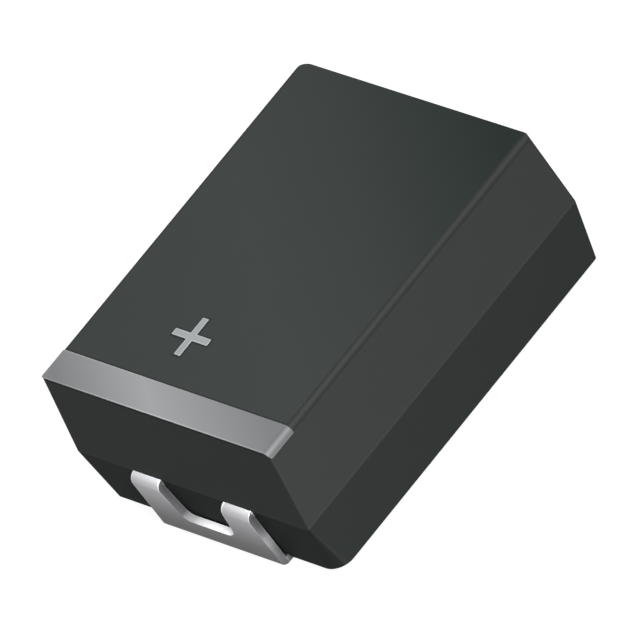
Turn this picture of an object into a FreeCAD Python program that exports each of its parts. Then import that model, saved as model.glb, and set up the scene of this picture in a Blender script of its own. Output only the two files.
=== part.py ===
import FreeCAD, Part
import math
import os

# Moulded chip capacitor. Lengths are in millimetres and angles in degrees.
# X runs along the case with the anode end at minus X, Y across it and Z up.
# The origin is midway between the terminals, on the plane of their soles.

# Case moulding
body_length = 7.10
body_width = 5.16
body_height = 2.90
parting_height = 1.22
standoff = 0.13
upper_end_draft = 3.4
upper_side_draft = 1.2
lower_end_draft = 6.6
lower_side_draft = 4.0
long_edge_radius = 0.12
parting_corner_radius = 0.04
top_corner_radius = 0.08
bottom_corner_radius = 0.06
ejector_mark_diameter = 0.80
ejector_mark_depth = 0.03
ejector_mark_pitch = 2.20

# Corners that are rounder than the rest, named as seen from the anode end
anode_left_top_radius = 0.16
cathode_left_top_radius = 0.28
anode_right_bottom_radius = 0.34

# Epoxy left around the capacitor element
side_wall = 0.60
roof_wall = 0.62
floor_wall = 0.26
cathode_end_wall = 0.65
anode_end_room = 1.35

# Terminals, punched and bent from one strip thickness
strip_thickness = 0.14
terminal_width = 2.63
bend_radius = 0.015
leg_lean = 5.0
foot_length = 1.30
foot_corner_radius = 0.10
pocket_side_clearance = 0.06
pocket_roof_clearance = 0.03

# Window and weld tab of the anode terminal
window_width = 1.39
window_sill = 0.50
window_corner_radius = 0.11
window_reach = 0.30
window_bar = 0.25
weld_tab_width = 1.20
weld_tab_gap = 0.15
weld_tab_corner_radius = 0.08

# Stepped tray of the cathode terminal
tray_length = 3.20
step_clearance = 0.15
tray_hole_diameter = 0.70
tray_hole_setback = 0.90

# Capacitor element
pellet_edge_radius = 0.15
oxide_layer = 0.05
graphite_layer = 0.03
silver_layer = 0.05
graphite_setback = 0.20
silver_setback = 0.35
wire_diameter = 0.40
wire_embedment = 2.20
wire_flat = 0.03
wire_end_wall = 0.45
washer_diameter = 1.10
washer_thickness = 0.15
adhesive_thickness = 0.05
adhesive_edge_gap = 0.12

# Print on the top face
print_thickness = 0.016
print_bevel = 0.008
band_width = 0.61
band_setback = 0.012
mark_span = 0.78
mark_stroke = 0.13
mark_distance = 1.55
mark_offset = 0.43

# Oversize of the cutting tools, and how closely an edge has to match to be picked
over = 1.0
close = 1e-6

# Levels and half sizes that follow from the dimensions above
case_bottom = standoff
parting_z = case_bottom + parting_height
case_top = case_bottom + body_height
half_length = body_length / 2
half_width = body_width / 2
upper_height = body_height - parting_height
top_radii = [cathode_left_top_radius, anode_left_top_radius, top_corner_radius, top_corner_radius]
bottom_radii = [bottom_corner_radius, bottom_corner_radius, anode_right_bottom_radius, bottom_corner_radius]
top_half_length = half_length - upper_height * math.tan(math.radians(upper_end_draft))
top_half_width = half_width - upper_height * math.tan(math.radians(upper_side_draft))
bottom_half_length = half_length - parting_height * math.tan(math.radians(lower_end_draft))
bottom_half_width = half_width - parting_height * math.tan(math.radians(lower_side_draft))
lead_z = parting_z - strip_thickness / 2
wire_radius = wire_diameter / 2
wire_z = parting_z + wire_radius - wire_flat
coat_total = oxide_layer + graphite_layer + silver_layer
tray_z = case_bottom + floor_wall + strip_thickness / 2
tray_top = tray_z + strip_thickness / 2
adhesive_top = tray_top + adhesive_thickness
stack_end = half_length - cathode_end_wall
pellet_start = anode_end_room - half_length
pellet_end = stack_end - coat_total
pellet_half_width = half_width - side_wall - coat_total
pellet_bottom = adhesive_top + coat_total
pellet_top = case_top - roof_wall - coat_total
washer_face = pellet_start - oxide_layer - washer_thickness
tab_end = washer_face - weld_tab_gap
step_x = stack_end + step_clearance + strip_thickness / 2
tray_end = step_x - strip_thickness / 2 - tray_length


def box(low, high):
    size = [b - a for a, b in zip(low, high)]
    return Part.makeBox(size[0], size[1], size[2], FreeCAD.Vector(low[0], low[1], low[2]))


def rounded_rectangle(half_x, half_y, radii, z):
    """Outline in plan with four corner arcs, whose radii start at plus X plus Y and go anticlockwise."""
    arcs = []
    for index, (side_x, side_y) in enumerate(((1, 1), (-1, 1), (-1, -1), (1, -1))):
        radius = radii[index]
        x = side_x * (half_x - radius)
        y = side_y * (half_y - radius)
        points = []
        for angle in (90 * index, 90 * index + 45, 90 * index + 90):
            turn = math.radians(angle)
            points.append(FreeCAD.Vector(x + radius * math.cos(turn), y + radius * math.sin(turn), z))
        arcs.append(Part.Arc(points[0], points[1], points[2]).toShape())
    edges = []
    for index, arc in enumerate(arcs):
        edges.append(arc)
        following = arcs[(index + 1) % len(arcs)]
        edges.append(Part.LineSegment(arc.Vertexes[-1].Point, following.Vertexes[0].Point).toShape())
    return Part.Wire(edges)


def long_edge_arc(side, extra=0.0):
    """Start, middle and end of the round on one top long edge, seen along X."""
    lean = math.radians(upper_side_draft)
    tangent = long_edge_radius * math.tan((math.pi / 2 - lean) / 2)
    centre_y = top_half_width - tangent
    centre_z = case_top - long_edge_radius
    radius = long_edge_radius + extra
    points = []
    for angle in (math.pi / 2, (math.pi / 2 + lean) / 2, lean):
        points.append(FreeCAD.Vector(0, side * (centre_y + radius * math.cos(angle)),
                                     centre_z + radius * math.sin(angle)))
    return points


def edge_cutter(side):
    """Waste outside the round of one top long edge."""
    start, middle, end = long_edge_arc(side)
    lean = math.radians(upper_side_draft)
    above = start + FreeCAD.Vector(0, 0, over)
    beside = end + FreeCAD.Vector(0, side * math.cos(lean) * over, math.sin(lean) * over)
    corner = FreeCAD.Vector(0, beside.y, above.z)
    outline = Part.Wire([Part.Arc(start, middle, end).toShape(), Part.makeLine(end, beside),
                         Part.makeLine(beside, corner), Part.makeLine(corner, above),
                         Part.makeLine(above, start)])
    face = Part.Face(outline)
    face.translate(FreeCAD.Vector(-half_length - over, 0, 0))
    return face.extrude(FreeCAD.Vector(body_length + 2 * over, 0, 0))


def case_envelope():
    outlines = [rounded_rectangle(bottom_half_length, bottom_half_width, bottom_radii, case_bottom),
                rounded_rectangle(half_length, half_width, [parting_corner_radius] * 4, parting_z),
                rounded_rectangle(top_half_length, top_half_width, top_radii, case_top)]
    shape = Part.makeLoft(outlines, True, True)
    return shape.cut(edge_cutter(1)).cut(edge_cutter(-1))


def strip_profile(points, thickness, inner_radius):
    """Face in the XZ plane around a bent centre line, with a true arc at each bend."""
    middle_radius = inner_radius + thickness / 2
    half = thickness / 2
    sides = {1: [], -1: []}
    directions = []
    for first, second in zip(points, points[1:]):
        length = math.hypot(second[0] - first[0], second[1] - first[1])
        directions.append(((second[0] - first[0]) / length, (second[1] - first[1]) / length))

    def vector(x, z):
        return FreeCAD.Vector(x, 0, z)

    for side in sides:
        here = vector(points[0][0] - side * half * directions[0][1],
                      points[0][1] + side * half * directions[0][0])
        for index, corner in enumerate(points[1:-1]):
            before, after = directions[index], directions[index + 1]
            cross = before[0] * after[1] - before[1] * after[0]
            turn = math.atan2(cross, before[0] * after[0] + before[1] * after[1])
            hand = 1 if turn > 0 else -1
            tangent = middle_radius * math.tan(abs(turn) / 2)
            centre = (corner[0] - before[0] * tangent - hand * middle_radius * before[1],
                      corner[1] - before[1] * tangent + hand * middle_radius * before[0])
            radius = middle_radius - hand * side * half
            arc = []
            for share in (0.0, 0.5, 1.0):
                swing = turn * share
                normal = (hand * before[1], -hand * before[0])
                x = normal[0] * math.cos(swing) - normal[1] * math.sin(swing)
                z = normal[0] * math.sin(swing) + normal[1] * math.cos(swing)
                arc.append(vector(centre[0] + radius * x, centre[1] + radius * z))
            sides[side].append(Part.makeLine(here, arc[0]))
            sides[side].append(Part.Arc(arc[0], arc[1], arc[2]).toShape())
            here = arc[2]
        last = vector(points[-1][0] - side * half * directions[-1][1],
                      points[-1][1] + side * half * directions[-1][0])
        sides[side].append(Part.makeLine(here, last))
    caps = [Part.makeLine(sides[1][0].Vertexes[0].Point, sides[-1][0].Vertexes[0].Point),
            Part.makeLine(sides[1][-1].Vertexes[-1].Point, sides[-1][-1].Vertexes[-1].Point)]
    return Part.Face(Part.Wire(Part.__sortEdges__(sides[1] + sides[-1] + caps)))


def outer_path(end):
    """Centre line of a terminal outside the case, from the upper bend to the tip of the foot."""
    upper_x = half_length + strip_thickness / 2
    drop = lead_z - strip_thickness / 2
    lower_x = upper_x - drop * math.tan(math.radians(leg_lean))
    tip_x = half_length - foot_length
    return [(end * upper_x, lead_z), (end * lower_x, strip_thickness / 2), (end * tip_x, strip_thickness / 2)]


def bent_strip(path):
    face = strip_profile(path, strip_thickness, bend_radius)
    face.translate(FreeCAD.Vector(0, -terminal_width / 2, 0))
    return face.extrude(FreeCAD.Vector(0, terminal_width, 0))


def rounded_foot(strip, end):
    """Rounds the two free corners of a foot."""
    tip_x = end * (half_length - foot_length)
    corners = [edge for edge in strip.Edges
               if edge.BoundBox.XLength < close and edge.BoundBox.YLength < close
               and abs(edge.CenterOfMass.x - tip_x) < close]
    return strip.makeFillet(foot_corner_radius, corners)


def window_cutter():
    inner_x = window_reach - half_length
    tool = box((-half_length - over, -window_width / 2, window_sill),
               (inner_x, window_width / 2, parting_z + over))
    sill_edges = []
    for edge in tool.Edges:
        along_x = edge.BoundBox.XLength > over
        if along_x and abs(edge.CenterOfMass.z - window_sill) < close:
            sill_edges.append(edge)
    return tool.makeFillet(window_corner_radius, sill_edges)


def anode_terminal():
    """Windowed strip with two legs, a foot and a narrow tab under the riser wire."""
    strip = rounded_foot(bent_strip([(tab_end, lead_z)] + outer_path(-1)), -1)
    strip = strip.cut(window_cutter())
    shoulder_x = window_reach + window_bar - half_length
    for side in (1, -1):
        near, far = sorted((side * weld_tab_width / 2, side * (terminal_width / 2 + over)))
        notch = box((shoulder_x, near, lead_z - over), (tab_end + over, far, lead_z + over))
        root = [edge for edge in notch.Edges
                if edge.BoundBox.ZLength > over and abs(edge.CenterOfMass.x - shoulder_x) < close
                and abs(abs(edge.CenterOfMass.y) - weld_tab_width / 2) < close]
        strip = strip.cut(notch.makeFillet(weld_tab_corner_radius, root))
    return strip


def cathode_terminal():
    """Plain strip whose inner end steps down into a tray under the element."""
    inner = [(tray_end, tray_z), (step_x, tray_z), (step_x, lead_z)]
    strip = rounded_foot(bent_strip(inner + outer_path(1)), 1)
    hole = Part.makeCylinder(tray_hole_diameter / 2, strip_thickness + over,
                             FreeCAD.Vector(tray_end + tray_hole_setback, 0, tray_z - over / 2))
    return strip.cut(hole)


def element_block(grow, start):
    """Rounded block of the element, grown by a coat's outer offset and cut off square at start."""
    block = box((pellet_start - grow, -pellet_half_width - grow, pellet_bottom - grow),
                (pellet_end + grow, pellet_half_width + grow, pellet_top + grow))
    block = block.makeFillet(pellet_edge_radius + grow, block.Edges)
    keep = box((start, -half_width, case_bottom), (half_length, half_width, case_top))
    return block.common(keep)


def riser_wire():
    """Drawn wire with a flat where it is welded to the tab."""
    start_x = wire_end_wall - half_length
    length = pellet_start + wire_embedment - start_x
    wire = Part.makeCylinder(wire_radius, length, FreeCAD.Vector(start_x, 0, wire_z), FreeCAD.Vector(1, 0, 0))
    flat = box((start_x - over, -over, parting_z - over), (tab_end, over, parting_z))
    return wire.cut(flat)


def washer(bore):
    ring = Part.makeCylinder(washer_diameter / 2, washer_thickness,
                             FreeCAD.Vector(washer_face, 0, wire_z), FreeCAD.Vector(1, 0, 0))
    return ring.cut(bore)


def adhesive_pad():
    """Silver-filled adhesive between the element's underside and the tray."""
    contact_start = max(tray_end, pellet_start + silver_setback) + adhesive_edge_gap
    contact_end = pellet_end - pellet_edge_radius
    half = min(terminal_width / 2, pellet_half_width - pellet_edge_radius) - adhesive_edge_gap
    return box((contact_start, -half, tray_top), (contact_end, half, adhesive_top))


def wrapped_run(extra):
    """Edges across the top face and down both long edge rounds, raised by extra."""
    right = long_edge_arc(1, extra)
    left = long_edge_arc(-1, extra)
    return [Part.Arc(right[0], right[1], right[2]).toShape(), Part.makeLine(right[0], left[0]),
            Part.Arc(left[0], left[1], left[2]).toShape()]


def polarity_band():
    """Raised band across the anode end and down both long edge rounds, cut to the corners of the case."""
    upper_run = wrapped_run(print_thickness)
    edges = wrapped_run(0.0) + upper_run
    for side in (1, -1):
        edges.append(Part.makeLine(long_edge_arc(side)[2], long_edge_arc(side, print_thickness)[2]))
    face = Part.Face(Part.Wire(Part.__sortEdges__(edges)))
    face.translate(FreeCAD.Vector(band_setback - top_half_length, 0, 0))
    band = face.extrude(FreeCAD.Vector(band_width - band_setback, 0, 0))
    rim = []
    for edge in band.Edges:
        centre = edge.CenterOfMass
        for run in upper_run:
            beside = FreeCAD.Vector(centre.x, run.CenterOfMass.y, run.CenterOfMass.z)
            if edge.BoundBox.XLength < close and centre.distanceToPoint(beside) < close:
                rim.append(edge)
    corners = rounded_rectangle(top_half_length, top_half_width + print_thickness, top_radii, parting_z)
    keep = Part.Face(corners).extrude(FreeCAD.Vector(0, 0, body_height))
    return band.makeChamfer(print_bevel, rim).common(keep)


def polarity_mark():
    """Plain plus sign printed beside the band."""
    centre_x = mark_distance - top_half_length
    arms = []
    for span_x, span_y in ((mark_span, mark_stroke), (mark_stroke, mark_span)):
        arms.append(box((centre_x - span_x / 2, mark_offset - span_y / 2, case_top),
                        (centre_x + span_x / 2, mark_offset + span_y / 2, case_top + print_thickness)))
    return arms[0].fuse(arms[1]).removeSplitter()


def foot_pocket(end):
    """Shallow relief in the underside that clears a foot."""
    half = terminal_width / 2 + pocket_side_clearance
    inner = half_length - foot_length - pocket_side_clearance
    near, far = sorted((end * inner, end * (half_length + over)))
    return box((near, -half, case_bottom - over), (far, half, strip_thickness + pocket_roof_clearance))


def ejector_mark(side):
    return Part.makeCylinder(ejector_mark_diameter / 2, over + ejector_mark_depth,
                             FreeCAD.Vector(side * ejector_mark_pitch / 2, 0, case_bottom - over))


pellet_block = element_block(0.0, pellet_start)
oxide_block = element_block(oxide_layer, pellet_start - oxide_layer)
graphite_block = element_block(oxide_layer + graphite_layer, pellet_start + graphite_setback)
silver_block = element_block(coat_total, pellet_start + silver_setback)
wire = riser_wire()

pieces = {
    "anode_terminal": anode_terminal(),
    "cathode_terminal": cathode_terminal(),
    "anode_wire": wire,
    "tantalum_pellet": pellet_block.cut(wire),
    "manganese_dioxide_coat": oxide_block.cut(pellet_block).cut(wire),
    "graphite_coat": graphite_block.cut(oxide_block),
    "silver_coat": silver_block.cut(graphite_block).cut(oxide_block),
    "insulating_washer": washer(wire),
    "silver_adhesive": adhesive_pad(),
}

case = case_envelope()
for inner_piece in pieces.values():
    case = case.cut(inner_piece)
for cutter in (foot_pocket(-1), foot_pocket(1), ejector_mark(-1), ejector_mark(1)):
    case = case.cut(cutter)
pieces["moulded_case"] = case
pieces["polarity_band"] = polarity_band()
pieces["polarity_mark"] = polarity_mark()

os.makedirs("parts", exist_ok=True)
for name, shape in pieces.items():
    shape.exportStep("parts/" + name + ".step")
    print(name, len(shape.Solids), shape.isValid(), round(shape.Volume, 4))
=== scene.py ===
import math

import bmesh
import bpy
from mathutils import Matrix, Vector


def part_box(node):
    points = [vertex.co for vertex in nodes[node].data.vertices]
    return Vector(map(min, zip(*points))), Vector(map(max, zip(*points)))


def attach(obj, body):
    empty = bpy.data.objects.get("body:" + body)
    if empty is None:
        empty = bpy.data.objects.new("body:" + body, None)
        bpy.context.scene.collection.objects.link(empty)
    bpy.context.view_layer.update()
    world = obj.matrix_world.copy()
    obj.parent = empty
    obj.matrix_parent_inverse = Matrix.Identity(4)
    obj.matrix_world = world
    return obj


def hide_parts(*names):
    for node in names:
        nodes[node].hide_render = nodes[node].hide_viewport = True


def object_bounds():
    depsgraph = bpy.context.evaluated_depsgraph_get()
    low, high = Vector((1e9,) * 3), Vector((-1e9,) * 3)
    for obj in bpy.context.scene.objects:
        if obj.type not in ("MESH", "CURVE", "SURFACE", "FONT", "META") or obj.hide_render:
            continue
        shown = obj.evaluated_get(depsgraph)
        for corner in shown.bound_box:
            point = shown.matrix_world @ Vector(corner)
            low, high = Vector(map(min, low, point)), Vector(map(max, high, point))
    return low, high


# Moulded chip capacitor on a pale studio floor.
# Settings are in millimetres and degrees, and colours are the levels seen on screen, 0 to 255.

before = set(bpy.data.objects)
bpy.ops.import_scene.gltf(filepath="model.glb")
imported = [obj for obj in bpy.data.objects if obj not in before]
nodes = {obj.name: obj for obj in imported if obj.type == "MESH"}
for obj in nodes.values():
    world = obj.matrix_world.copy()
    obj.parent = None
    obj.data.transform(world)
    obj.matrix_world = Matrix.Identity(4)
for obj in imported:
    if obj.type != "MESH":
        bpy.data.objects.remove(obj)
cadBox = [list(corner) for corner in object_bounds()]
mm = 0.001
print("frame loaded:", len(nodes), "nodes")


def boxOf(node):
    low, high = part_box(node)
    return low / mm, high / mm


caseLow, caseHigh = boxOf("moulded_case")
bandLow, bandHigh = boxOf("polarity_band")
caseTop = caseHigh.z
partingZ = boxOf("anode_terminal")[1].z
stripHalf = boxOf("anode_terminal")[1].y
markStroke = 0.13  # the plus sign's, as in the CAD


def linear(level):
    # screen level to the renderer's scale, by the sRGB curve
    share = level / 255
    if share <= 0.04045:
        return share / 12.92
    return ((share + 0.055) / 1.055) ** 2.4


def paint(red, green, blue):
    return (linear(red), linear(green), linear(blue), 1.0)


# Shader maths
class Value:
    # wraps an output socket, so that a sum of sockets reads as a sum

    def __init__(self, finish, socket):
        self.finish = finish
        self.socket = socket

    def maths(self, operation, first, second=0.0):
        return self.finish.node("ShaderNodeMath", {"operation": operation},
                                {"Value": first, "Value_001": second})

    def __add__(self, other):
        return self.maths("ADD", self, other)

    def __sub__(self, other):
        return self.maths("SUBTRACT", self, other)

    def __rsub__(self, other):
        return self.maths("SUBTRACT", other, self)

    def __mul__(self, other):
        return self.maths("MULTIPLY", self, other)

    def __abs__(self):
        return self.maths("ABSOLUTE", self)

    def larger(self, other):
        return self.maths("MAXIMUM", self, other)

    def smaller(self, other):
        return self.maths("MINIMUM", self, other)

    __radd__ = __add__
    __rmul__ = __mul__


class Finish:
    # the node tree of one material or world

    def __init__(self, owner):
        owner.use_nodes = True
        self.owner = owner
        self.tree = owner.node_tree
        self.tree.nodes.clear()

    def node(self, kind, settings=None, inputs=None, output=None):
        made = self.tree.nodes.new(kind)
        for key, value in (settings or {}).items():
            if key == "stops":
                self.fillRamp(made.color_ramp, value)
            else:
                setattr(made, key, value)
        sockets = {socket.identifier: socket for socket in made.inputs}
        for key, value in (inputs or {}).items():
            if isinstance(value, Value):
                self.tree.links.new(value.socket, sockets[key])
            else:
                sockets[key].default_value = value
        outputs = {socket.identifier: socket for socket in made.outputs}
        return Value(self, outputs[output] if output else next(iter(outputs.values()), None))

    def fillRamp(self, ramp, stops):
        while len(ramp.elements) > 1:
            ramp.elements.remove(ramp.elements[-1])
        for index, (position, level) in enumerate(stops):
            element = ramp.elements[0] if index == 0 else ramp.elements.new(position)
            element.position = position
            element.color = (level, level, level, 1.0)

    def place(self):
        # object coordinates in millimetres, as a vector and as its three parts
        spot = self.node("ShaderNodeTexCoord", output="Object")
        spot = self.node("ShaderNodeVectorMath", {"operation": "SCALE"}, {"Vector": spot, "Scale": 1 / mm})
        return [spot] + self.parts(spot)

    def parts(self, vector):
        return [self.node("ShaderNodeSeparateXYZ", None, {"Vector": vector}, axis) for axis in "XYZ"]

    def facing(self):
        # the three parts of the surface normal in the object's own frame
        return self.parts(self.node("ShaderNodeTexCoord", output="Normal"))

    def step(self, value, low, high):
        # rises smoothly from 0 at low to 1 at high
        return self.node("ShaderNodeMapRange", {"interpolation_type": "SMOOTHSTEP"},
                         {"Value": value, "From Min": low, "From Max": high})

    def line(self, value, centre, halfWidth):
        # 1 on the line and 0 from halfWidth away
        return 1 - self.step(abs(value - centre), 0.0, halfWidth)

    def curve(self, value, points):
        # follows the screen levels at the given places, straight between them
        first = points[0][0]
        span = points[-1][0] - first
        share = (value - first) * (1 / span)
        stops = [((place - first) / span, linear(level)) for place, level in points]
        return self.node("ShaderNodeValToRGB", {"stops": stops}, {"Fac": share}, "Color")

    def noise(self, spot, scale, detail=3.0):
        return self.node("ShaderNodeTexNoise", None, {"Vector": spot, "Scale": scale, "Detail": detail})

    def drawnGrain(self, spot, scales):
        # noise with a scale of its own along each axis
        return self.noise(self.node("ShaderNodeMapping", None, {"Vector": spot, "Scale": scales}), 1.0)

    def vary(self, noise, share):
        # 1, give or take the share
        return 1 + (noise - 0.5) * (2 * share)

    def blend(self, factor, first, second, mode="MIX"):
        return self.node("ShaderNodeMix", {"data_type": "RGBA", "blend_type": mode},
                         {"Factor_Float": factor, "A_Color": first, "B_Color": second}, "Result_Color")

    def bump(self, height, depth, edge=None, samples=6):
        # fine relief of the given depth, over edges rounded by the radius edge
        inputs = {"Height": height, "Distance": depth * mm}
        if edge:
            inputs["Normal"] = self.node("ShaderNodeBevel", {"samples": samples}, {"Radius": edge * mm})
        return self.node("ShaderNodeBump", None, inputs, "Normal")

    def close(self, inputs):
        shader = self.node("ShaderNodeBsdfPrincipled", None, inputs, "BSDF")
        self.node("ShaderNodeOutputMaterial", None, {"Surface": shader})
        return self.owner


def plusBorder(x, y):
    # distance from the border of the plus sign, below 0 inside it
    low, high = boxOf("polarity_mark")
    middle = (low + high) / 2
    reach = (high - low) / 2
    across = abs(x - middle.x)
    along = abs(y - middle.y)
    firstBar = (across - reach.x).larger(along - markStroke / 2)
    secondBar = (across - markStroke / 2).larger(along - reach.y)
    return firstBar.smaller(secondBar)


def wear(node, material):
    # gives a CAD node its finish
    slots = nodes[node].data.materials
    for index in range(len(slots)):
        slots[index] = material


def softened(node, name, look, material, keep, form=None):
    # copy of a CAD node with its triangles merged and its open edges rounded, to stand in its place
    shape = bmesh.new()
    shape.from_mesh(nodes[node].data)
    bmesh.ops.remove_doubles(shape, verts=shape.verts, dist=look["merge"] * mm)
    bmesh.ops.dissolve_limit(shape, angle_limit=math.radians(look["flat"]), verts=shape.verts,
                             edges=shape.edges)
    if form:
        for corner in shape.verts:
            corner.co = form(corner.co / mm) * mm
        shape.normal_update()
    weights = shape.edges.layers.float.new("bevel_weight_edge")
    for edge in shape.edges:
        isOpen = all(keep(corner.co / mm) for corner in edge.verts)
        edge[weights] = float(isOpen and edge.calc_face_angle() > math.radians(look["crisp"]))
    mesh = bpy.data.meshes.new(name)
    shape.to_mesh(mesh)
    shape.free()
    mesh.attributes.remove(mesh.attributes["custom_normal"])
    rough = bpy.data.objects.new(name + ".rough", mesh)
    bpy.context.scene.collection.objects.link(rough)
    bevel = rough.modifiers.new("edges", "BEVEL")
    bevel.limit_method = "WEIGHT"
    bevel.width = look["radius"] * mm
    bevel.segments = look["segments"]
    bevel.use_clamp_overlap = False
    rough.modifiers.new("shading", "WEIGHTED_NORMAL").keep_sharp = False
    drawn = rough.evaluated_get(bpy.context.evaluated_depsgraph_get())
    finished = bpy.data.meshes.new_from_object(drawn)
    finished.materials.clear()
    finished.materials.append(material)
    bpy.data.objects.remove(rough)
    piece = bpy.data.objects.new(name, finished)
    bpy.context.scene.collection.objects.link(piece)
    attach(piece, "root")
    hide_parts(node)


# Window of the anode strip, which the case's finish needs too
windowLook = {
    "half": 0.695,
    "sill": 0.50,
    "top": 1.20,
    "round": 0.11,  # of the CAD's lower corners
    "leftRound": 0.18,  # of the same corners once shaped
    "rightRound": 0.26,
    "taper": 0.12,  # how far each side draws in towards the sill
    "legLean": 5.0,
    "slack": 0.002,
}


# Moulded epoxy case
caseLook = {
    "top": paint(69, 73, 72),
    "topFar": paint(64, 73, 70),
    "topFarReach": (1.0, 5.0),
    "flank": paint(67, 69, 68),
    "flankLower": paint(66, 70, 69),
    # painted shade: screen levels along the top's slant, the flanks and the ends
    "topFade": [(-4.3, 70), (-0.5, 73), (1.5, 69), (2.5, 66), (3.2, 62.5), (4.1, 58), (4.9, 53)],
    "topPeak": 73,
    "topScale": 0.73,
    "fadeLean": 0.8,
    "flankFade": [(-3.6, 69), (3.6, 64)],
    "flankPeak": 69,
    "endFade": [(-2.6, 69), (2.6, 71)],
    # painted shade levels of the flanks, and of the flanks and ends below the parting line
    "flankShade": 1.05,
    "lowerFlankShade": 0.73,
    "lowerEndShade": 0.66,
    # painted highlight and painted shade: levels round the long edges, by how far a face points up
    "round": [(0.0, 70), (0.03, 70), (0.09, 62), (0.17, 58), (0.26, 55), (0.34, 57.5), (0.5, 60),
              (0.64, 64.5), (0.72, 67.5), (0.77, 66.5), (0.87, 60), (0.94, 56), (0.985, 50), (1.0, 60)],
    "roundPeak": 70,
    # painted highlight and painted shade: levels round the upright corner nearest the camera, by how far a
    # face points along the case
    "corner": [(0.0, 60), (0.08, 60), (0.2, 61.5), (0.38, 61.5), (0.5, 56), (0.6, 50), (0.75, 47.5),
               (0.9, 49), (0.97, 53), (0.99, 60)],
    "lowerCorner": [(0.0, 60), (0.1, 60), (0.25, 63), (0.45, 68), (0.5, 61), (0.55, 52), (0.75, 56),
                    (0.9, 58.5), (0.985, 60), (1.0, 60)],
    "cornerLevel": 60,
    "cornerReach": 0.3,
    # from where to where each mask rises
    "cornerAlong": (-3.0, -2.0),
    "cornerAcross": (-2.0, -1.0),
    "topFacing": (0.985, 0.999),
    "endFacing": (0.64, 0.76),
    "cathodeHalf": (-1.0, 0.0),
    "partingBlur": 0.004,
    # a painted highlight line just above the parting line
    "partingHighlight": 0.10,
    "partingLine": 0.045,
    # painted shadow lines beside the print and above the strip
    "bandLine": 0.03,
    "bandShade": 0.62,
    "underShade": 0.35,
    "underDrop": 0.01,
    "stripLine": 0.03,
    "stripShade": 0.35,
    "stripRise": 0.01,
    "grain": 45.0,
    "grainDepth": 0.0008,
    "edge": 0.008,
    "mottle": 1.6,
    "mottleShare": 0.02,
    "roughness": 0.55,
    "specular": 0.006,
}


def mouldedEpoxy(look):
    finish = Finish(bpy.data.materials.new("mouldedEpoxy"))
    spot, x, y, z = finish.place()
    nx, _, nz = finish.facing()
    up = finish.step(nz, *look["topFacing"])
    ahead = finish.step(abs(nx), *look["endFacing"])
    below = 1 - finish.step(z, partingZ - look["partingBlur"], partingZ + look["partingBlur"])
    anodeHalf = 1 - finish.step(x, *look["cathodeHalf"])

    # top, with painted shade along its slant and painted shadow lines beside the band and the plus sign
    slant = x - y * look["fadeLean"]
    topTone = finish.curve(slant, look["topFade"]) * (look["topScale"] / linear(look["topPeak"]))
    top = finish.blend(finish.step(slant, *look["topFarReach"]), look["top"], look["topFar"])
    besideBand = finish.line(x, bandHigh.x + look["bandLine"] / 2, look["bandLine"])
    besideMark = finish.line(plusBorder(x, y), look["bandLine"] / 2, look["bandLine"])
    for line in (besideBand, besideMark):
        topTone = topTone * (1 - line * (1 - look["bandShade"]))

    # walls, with painted shade along each wall and below the parting line, and a painted highlight line
    # just above it
    flankTone = finish.curve(x, look["flankFade"]) * finish.curve(nz, look["round"])
    flankTone = flankTone * (look["flankShade"] / linear(look["flankPeak"]) / linear(look["roundPeak"]))
    endTone = finish.curve(y, look["endFade"]) * (1 / linear(look["flankPeak"]))
    lowerShade = look["lowerFlankShade"] + ahead * (look["lowerEndShade"] - look["lowerFlankShade"])
    parting = finish.line(z, partingZ + look["partingLine"] / 2, look["partingLine"])
    wallTone = flankTone + ahead * (endTone - flankTone)
    wallTone = wallTone * (1 + below * (lowerShade - 1)) * (1 + parting * look["partingHighlight"])

    # painted highlight and painted shade round the corner nearest the camera
    corner = finish.curve(abs(nx), look["corner"])
    lowerCorner = finish.curve(abs(nx), look["lowerCorner"])
    rise = finish.step(z, partingZ - look["cornerReach"], partingZ)
    corner = lowerCorner + rise * (corner - lowerCorner)
    near = (1 - finish.step(x, *look["cornerAlong"])) * (1 - finish.step(y, *look["cornerAcross"]))
    wallTone = wallTone * (1 + near * (corner * (1 / linear(look["cornerLevel"])) - 1))

    # painted shadow lines on the anode end, under the band and above the strip's legs
    underBand = finish.line(z, caseTop - look["underDrop"], look["bandLine"]) * anodeHalf
    wallTone = wallTone * (1 - ahead * underBand * (1 - look["underShade"]))
    overStrip = finish.line(z, partingZ + look["stripRise"], look["stripLine"]) * ahead
    overStrip = overStrip * (1 - finish.step(abs(y), stripHalf, stripHalf + look["stripLine"]))
    overStrip = overStrip * finish.step(abs(y), windowLook["half"] - look["stripLine"], windowLook["half"])
    wallTone = wallTone * (1 - overStrip * (1 - look["stripShade"]) * anodeHalf)
    wall = finish.blend(below, look["flank"], look["flankLower"])

    mottle = finish.vary(finish.noise(spot, look["mottle"]), look["mottleShare"])
    tone = (wallTone + up * (topTone - wallTone)) * mottle
    colour = finish.blend(1.0, finish.blend(up, wall, top), tone, "MULTIPLY")
    grain = finish.noise(spot, look["grain"])
    return finish.close({"Base Color": colour, "Roughness": look["roughness"],
                         "Specular IOR Level": look["specular"],
                         "Normal": finish.bump(grain, look["grainDepth"], look["edge"])})


wear("moulded_case", mouldedEpoxy(caseLook))
print("case finished")


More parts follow.
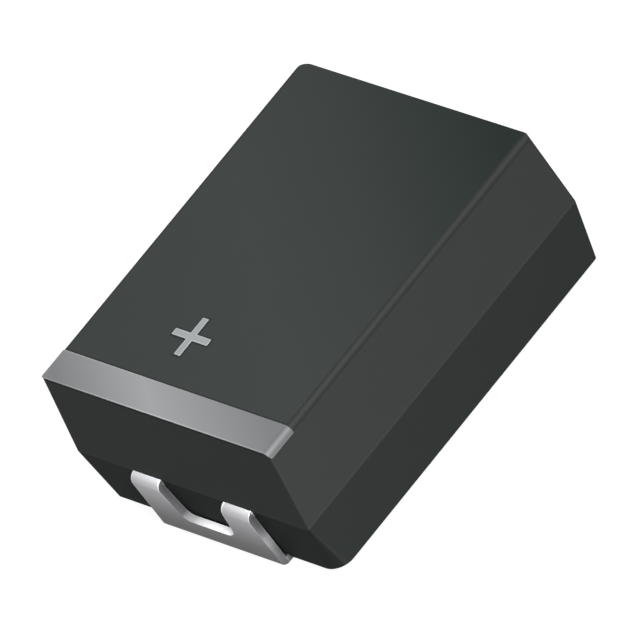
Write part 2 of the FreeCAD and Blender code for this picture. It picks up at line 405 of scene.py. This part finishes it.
# Printed band and plus sign
printLook = {
    "ink": paint(134, 135, 137),
    "markInk": paint(138, 142, 143),
    # a painted highlight round the plus sign's border
    "markHighlight": 0.5,
    # painted sheen: screen levels across the case, along a line that leans
    "sheen": [(-2.5, 127), (0.35, 167), (2.5, 127)],
    "sheenPeak": 167,
    "sheenLean": 1.3,
    # painted highlight and painted shade: levels round the long edges, by how far a face points up
    "round": [(0.0, 190), (0.04, 165), (0.1, 149), (0.3, 160), (0.48, 164), (0.6, 172), (0.72, 192),
              (0.83, 180), (0.9, 165), (0.97, 145), (1.0, 143)],
    "roundLevel": 143,
    # painted highlight lines along the band's front and back edges, and round the plus sign, this wide
    "rim": 0.028,
    "frontHighlight": 0.35,
    "backHighlight": [(-2.5, 118), (0.3, 127), (1.5, 148), (2.5, 156)],
    "backLevel": 120,
    "speckle": 60.0,
    "speckleShare": 0.02,
    "grainDepth": 0.0006,
    "roughness": 0.5,
    "metallic": 0.1,
    "specular": 0.15,
    "merge": 0.0001,
    "flat": 0.3,  # faces within this angle become one
    "crisp": 30.0,  # open edges sharper than this are rounded
    "radius": 0.004,
    "segments": 2,
}


def greyInk(name, look, ink, shaded):
    finish = Finish(bpy.data.materials.new(name))
    spot, x, y, _ = finish.place()
    speckle = finish.noise(spot, look["speckle"])
    shade = finish.vary(speckle, look["speckleShare"])
    if shaded:
        # painted sheen along a leaning line
        slant = y - (x - (bandLow.x + bandHigh.x) / 2) * look["sheenLean"]
        sheen = finish.curve(slant, look["sheen"]) * (1 / linear(look["sheenPeak"]))
        # painted highlight lines along the band's front and back edges
        front = finish.line(x, bandLow.x, look["rim"])
        back = finish.line(x, bandHigh.x, look["rim"])
        backHighlight = finish.curve(y, look["backHighlight"]) * (1 / linear(look["backLevel"])) - 1
        # painted highlight and shade round the long edges
        turn = finish.curve(finish.facing()[2], look["round"]) * (1 / linear(look["roundLevel"]))
        shade = shade * sheen * turn * (1 + front * look["frontHighlight"] + back * backHighlight)
    else:
        # painted highlight round the plus sign's border
        border = finish.line(plusBorder(x, y), 0.0, look["rim"])
        shade = shade * (1 + border * look["markHighlight"])
    colour = finish.blend(1.0, ink, shade, "MULTIPLY")
    return finish.close({"Base Color": colour, "Roughness": look["roughness"],
                         "Metallic": look["metallic"], "Specular IOR Level": look["specular"],
                         "Normal": finish.bump(speckle, look["grainDepth"])})


wear("polarity_band", greyInk("bandInk", printLook, printLook["ink"], True))
markInk = greyInk("markInk", printLook, printLook["markInk"], False)
softened("polarity_mark", "plusSign", printLook, markInk, lambda corner: corner.z > caseTop)
print("print finished")


# Tin-plated terminals
tinLook = {
    "tin": paint(250, 250, 254),
    # painted highlight and painted shade: screen levels by height, on the plate, on its cut sides and in
    # its window
    "plateTone": [(0.05, 76), (0.22, 85), (0.42, 103.5), (0.62, 130), (0.82, 153), (1.02, 177),
                  (1.12, 187), (1.22, 199), (1.28, 204), (1.31, 219), (1.33, 233), (1.342, 243),
                  (1.349, 255), (1.36, 255)],
    "wallTone": [(0.05, 115), (0.22, 129), (0.42, 149), (0.62, 180), (0.72, 180), (0.82, 156), (0.92, 133),
                 (1.02, 118), (1.22, 105), (1.36, 99)],
    "windowTone": [(0.5, 116), (0.8, 112), (1.36, 106)],
    # painted highlight along the sill, and the screen levels of its painted glint, which glows
    "sillHighlight": [(-0.62, 240), (-0.4, 255), (0.0, 252), (0.2, 236), (0.35, 212), (0.45, 176), (0.55, 140),
                 (0.62, 120)],
    "sillGlint": [(-0.66, 160), (-0.45, 235), (-0.2, 255), (0.0, 225), (0.2, 150), (0.4, 60), (0.55, 0)],
    # from where to where each mask rises
    "cutFacing": (0.6, 0.95),
    "sillFacing": (0.25, 0.8),
    "sillTop": (0.8, 0.9),
    "windowEdge": (0.85, 0.95),
    "cathodeSide": (-0.1, 0.1),
    # strength of the painted glint that makes the sill glow
    "glint": 0.35,
    # painted highlight lines along the plate's open edges and the window's sides
    "rim": 0.025,
    "rimHighlight": 0.8,
    "rimRise": (0.45, 1.0),
    # a painted highlight line along the back edge of the window's sides
    "backPlane": -3.438,  # where the leaning leg's back would meet the soles
    "backRim": 0.02,
    "backHighlight": 0.9,
    "roll": (6.0, 60.0, 60.0),
    "rollShare": 0.025,
    "grainDepth": 0.0005,
    "roughness": 0.42,
    "metallic": 0.3,
    "sillMetallic": 0.0,
    "specular": 0.15,
    "merge": 0.0001,
    "flat": 0.3,
    "crisp": 30.0,
    "radius": 0.006,
    "segments": 2,
    "openEnd": 0.12,  # edges within this of the case's end are open
    "openFoot": 0.02,
}


def shapedWindow(look):
    # draws the window's sides in towards the sill and rounds its lower corners further, in the leg's plane
    lean = math.atan2(look["taper"], look["top"] - look["sill"])
    slack = look["slack"]

    def form(spot):
        outward = abs(spot.y) - look["half"] + look["round"]
        downward = look["sill"] + look["round"] - spot.z
        onArc = abs(math.hypot(outward, downward) - look["round"]) < slack
        if not onArc or min(outward, downward) < -slack:
            return spot
        radius = look["leftRound"] if spot.y > 0 else look["rightRound"]
        centreY = look["half"] - look["taper"] + radius * (math.tan(lean) - 1 / math.cos(lean))
        turn = lean + math.atan2(max(downward, 0.0), max(outward, 0.0)) * (1 - 2 * lean / math.pi)
        z = look["sill"] + radius - radius * math.sin(turn)
        y = math.copysign(centreY + radius * math.cos(turn), spot.y)
        return Vector((spot.x + (spot.z - z) * math.tan(math.radians(look["legLean"])), y, z))

    return form


def tinPlate(look):
    finish = Finish(bpy.data.materials.new("tinPlate"))
    spot, x, y, z = finish.place()
    _, ny, nz = finish.facing()
    cut = finish.step(abs(ny), *look["cutFacing"])
    anodeSide = 1 - finish.step(x, *look["cathodeSide"])
    inWindow = anodeSide * (1 - finish.step(abs(y), *look["windowEdge"]))
    sill = finish.step(nz, *look["sillFacing"]) * inWindow * (1 - finish.step(z, *look["sillTop"]))
    # painted highlight and shade by height on the plate, its cut sides and its window, and a painted
    # highlight along the sill
    wallTone = finish.curve(z, look["wallTone"])
    wallTone = wallTone + inWindow * (finish.curve(z, look["windowTone"]) - wallTone)
    tone = finish.curve(z, look["plateTone"])
    tone = tone + cut * (wallTone - tone)
    tone = tone + sill * (finish.curve(y, look["sillHighlight"]) - tone)
    # painted highlight lines along the open edges and the window's sides
    rims = finish.line(abs(y), stripHalf, look["rim"])
    taper = (windowLook["top"] - z) * (windowLook["taper"] / (windowLook["top"] - windowLook["sill"]))
    rims = rims + anodeSide * finish.line(abs(y) + taper, windowLook["half"], look["rim"])
    tone = tone * (1 + rims * finish.step(z, *look["rimRise"]) * (1 - cut) * look["rimHighlight"])
    # a painted highlight line along the back edge of the window's sides
    plane = x + z * math.tan(math.radians(windowLook["legLean"]))
    backRim = finish.line(plane, look["backPlane"], look["backRim"]) * anodeSide * cut
    tone = tone * (1 + backRim * look["backHighlight"])
    grain = finish.drawnGrain(spot, look["roll"])
    tone = tone * finish.vary(grain, look["rollShare"])
    colour = finish.blend(1.0, look["tin"], tone, "MULTIPLY")
    metallic = look["metallic"] + sill * (look["sillMetallic"] - look["metallic"])
    return finish.close({"Base Color": colour, "Roughness": look["roughness"], "Metallic": metallic,
                         "Specular IOR Level": look["specular"],
                         # the sill glows with a painted glint
                         "Emission Color": sill * finish.curve(y, look["sillGlint"]),
                         "Emission Strength": look["glint"],
                         "Normal": finish.bump(grain, look["grainDepth"])})


def isOpenEdge(corner):
    # edges outside the case, where the mould doesn't hold the strip
    return abs(corner.x) > caseHigh.x - tinLook["openEnd"] or corner.z < caseLow.z + tinLook["openFoot"]


tin = tinPlate(tinLook)
softened("anode_terminal", "platedAnodeTerminal", tinLook, tin, isOpenEdge,
         shapedWindow(windowLook))
softened("cathode_terminal", "platedCathodeTerminal", tinLook, tin, isOpenEdge)
print("terminals finished")


# Pieces sealed inside the case
innerLooks = {
    "anode_wire": {"colour": paint(122, 124, 130), "spread": 0.10, "scale": (4.0, 70.0, 70.0),
                   "depth": 0.0008, "roughness": 0.35, "metallic": 1.0},
    "tantalum_pellet": {"colour": paint(104, 104, 108), "spread": 0.35, "scale": (30.0, 30.0, 30.0),
                        "depth": 0.006, "roughness": 0.7, "metallic": 0.7},
    "manganese_dioxide_coat": {"colour": paint(44, 38, 36), "spread": 0.25, "scale": (18.0, 18.0, 18.0),
                               "depth": 0.003, "roughness": 0.8, "metallic": 0.0},
    "graphite_coat": {"colour": paint(58, 59, 62), "spread": 0.15, "scale": (12.0, 12.0, 12.0),
                      "depth": 0.002, "roughness": 0.5, "metallic": 0.3},
    "silver_coat": {"colour": paint(196, 196, 192), "spread": 0.12, "scale": (14.0, 14.0, 14.0),
                    "depth": 0.002, "roughness": 0.5, "metallic": 0.6},
    "silver_adhesive": {"colour": paint(176, 176, 172), "spread": 0.20, "scale": (22.0, 22.0, 22.0),
                        "depth": 0.003, "roughness": 0.6, "metallic": 0.5},
    "insulating_washer": {"colour": paint(236, 236, 232), "spread": 0.04, "scale": (10.0, 10.0, 10.0),
                          "depth": 0.001, "roughness": 0.45, "metallic": 0.0},
}


def innerFinish(node, look):
    finish = Finish(bpy.data.materials.new(node + ".finish"))
    spot = finish.place()[0]
    grain = finish.drawnGrain(spot, look["scale"])
    colour = finish.blend(1.0, look["colour"], finish.vary(grain, look["spread"]), "MULTIPLY")
    return finish.close({"Base Color": colour, "Roughness": look["roughness"], "Metallic": look["metallic"],
                         "Normal": finish.bump(grain, look["depth"])})


for node, look in innerLooks.items():
    wear(node, innerFinish(node, look))
print("inner pieces finished")


# Studio
studioLook = {
    "floorReach": 600.0,
    "floorGap": 0.002,
    "floorGrey": 0.13,
    "floorWhite": 0.92,
    "worldFill": 0.16,
    "keyToward": (-0.24, -0.68, 0.70),
    "keyDistance": 200.0,
    "keySize": 90.0,
    "keyLevel": 1.15,
    "fillToward": (0.35, 0.75, 0.55),
    "fillDistance": 200.0,
    "fillSize": 120.0,
    "fillLevel": 0.40,
    "topToward": (0.05, -0.1, 1.0),
    "topDistance": 200.0,
    "topSize": 110.0,
    "topLevel": 0.22,
}


def seenDirectly(finish):
    # 1 for what the camera sees itself, in gloss and through clear things
    rays = [finish.node("ShaderNodeLightPath", output=name)
            for name in ("Is Camera Ray", "Is Glossy Ray", "Is Transmission Ray")]
    return rays[0] + rays[1] + rays[2]


def paleFloor(look):
    reach = look["floorReach"] * mm
    mesh = bpy.data.meshes.new("studioFloor")
    level = -look["floorGap"] * mm
    mesh.from_pydata([(-reach, -reach, level), (reach, -reach, level), (reach, reach, level),
                      (-reach, reach, level)], [], [(0, 1, 2, 3)])
    floor = bpy.data.objects.new("studioFloor", mesh)
    bpy.context.scene.collection.objects.link(floor)
    finish = Finish(bpy.data.materials.new("paleFloor"))
    seen = seenDirectly(finish)
    matt = finish.node("ShaderNodeBsdfDiffuse", None, {"Color": [look["floorGrey"]] * 3 + [1.0]})
    glow = finish.node("ShaderNodeEmission", None, {"Strength": seen * look["floorWhite"]})
    lit = finish.node("ShaderNodeAddShader", None, {"Shader": matt, "Shader_001": glow})
    # see-through from below, so that the underside can be looked at
    behind = finish.node("ShaderNodeNewGeometry", output="Backfacing")
    clear = finish.node("ShaderNodeBsdfTransparent")
    surface = finish.node("ShaderNodeMixShader", None, {"Fac": behind, "Shader": lit, "Shader_001": clear})
    finish.node("ShaderNodeOutputMaterial", None, {"Surface": surface})
    mesh.materials.append(finish.owner)


def whiteWorld(look):
    world = bpy.data.worlds.new("whiteWorld")
    bpy.context.scene.world = world
    finish = Finish(world)
    seen = seenDirectly(finish)
    strength = look["worldFill"] + seen * (1 - look["worldFill"])
    glow = finish.node("ShaderNodeBackground", None, {"Strength": strength})
    finish.node("ShaderNodeOutputWorld", None, {"Surface": glow})


def softLamp(name, toward, distance, size, level, aim):
    lamp = bpy.data.lights.new(name, "AREA")
    lamp.shape = "DISK"
    lamp.size = size * mm
    lamp.energy = level * (math.pi * distance * mm) ** 2
    holder = bpy.data.objects.new(name, lamp)
    bpy.context.scene.collection.objects.link(holder)
    direction = Vector(toward).normalized()
    holder.location = (aim + direction * distance) * mm
    holder.rotation_mode = "QUATERNION"
    holder.rotation_quaternion = direction.to_track_quat("Z", "Y")
    holder.visible_camera = False


paleFloor(studioLook)
whiteWorld(studioLook)
middle = (Vector(cadBox[0]) + Vector(cadBox[1])) / (2 * mm)
for lamp in ("key", "fill", "top"):
    softLamp(lamp + "Lamp", studioLook[lamp + "Toward"], studioLook[lamp + "Distance"],
             studioLook[lamp + "Size"], studioLook[lamp + "Level"], middle)
print("studio lit")


# Camera, far off with a long lens, rolled so that the case stands on its corner in the picture
cameraLook = {
    "azimuth": -28.468,
    "elevation": 40.234,
    "roll": 31.486,
    "aim": (-0.0309, 0.0155, 1.5187),
    "distance": 250.0,
    "lens": 899.9,
    "sensor": 36.0,
    "clip": (25.0, 2500.0),
}


def placeCamera(look):
    azimuth, elevation, roll = [math.radians(look[key]) for key in ("azimuth", "elevation", "roll")]
    back = Vector((math.sin(azimuth) * math.cos(elevation), -math.cos(azimuth) * math.cos(elevation),
                   math.sin(elevation)))
    level = (Vector((0, 0, 1)) - back * back.z).normalized()
    beside = level.cross(back)
    upward = level * math.cos(roll) + beside * math.sin(roll)
    right = upward.cross(back)
    camera = bpy.data.cameras.new("camera")
    camera.lens = look["lens"]
    camera.sensor_width = look["sensor"]
    camera.clip_start, camera.clip_end = [distance * mm for distance in look["clip"]]
    holder = bpy.data.objects.new("camera", camera)
    bpy.context.scene.collection.objects.link(holder)
    turn = Matrix((right, upward, back)).transposed().to_4x4()
    spot = (Vector(look["aim"]) + back * look["distance"]) * mm
    holder.matrix_world = Matrix.Translation(spot) @ turn
    bpy.context.scene.camera = holder


placeCamera(cameraLook)
bpy.context.scene.view_settings.view_transform = "Standard"
print("camera placed")
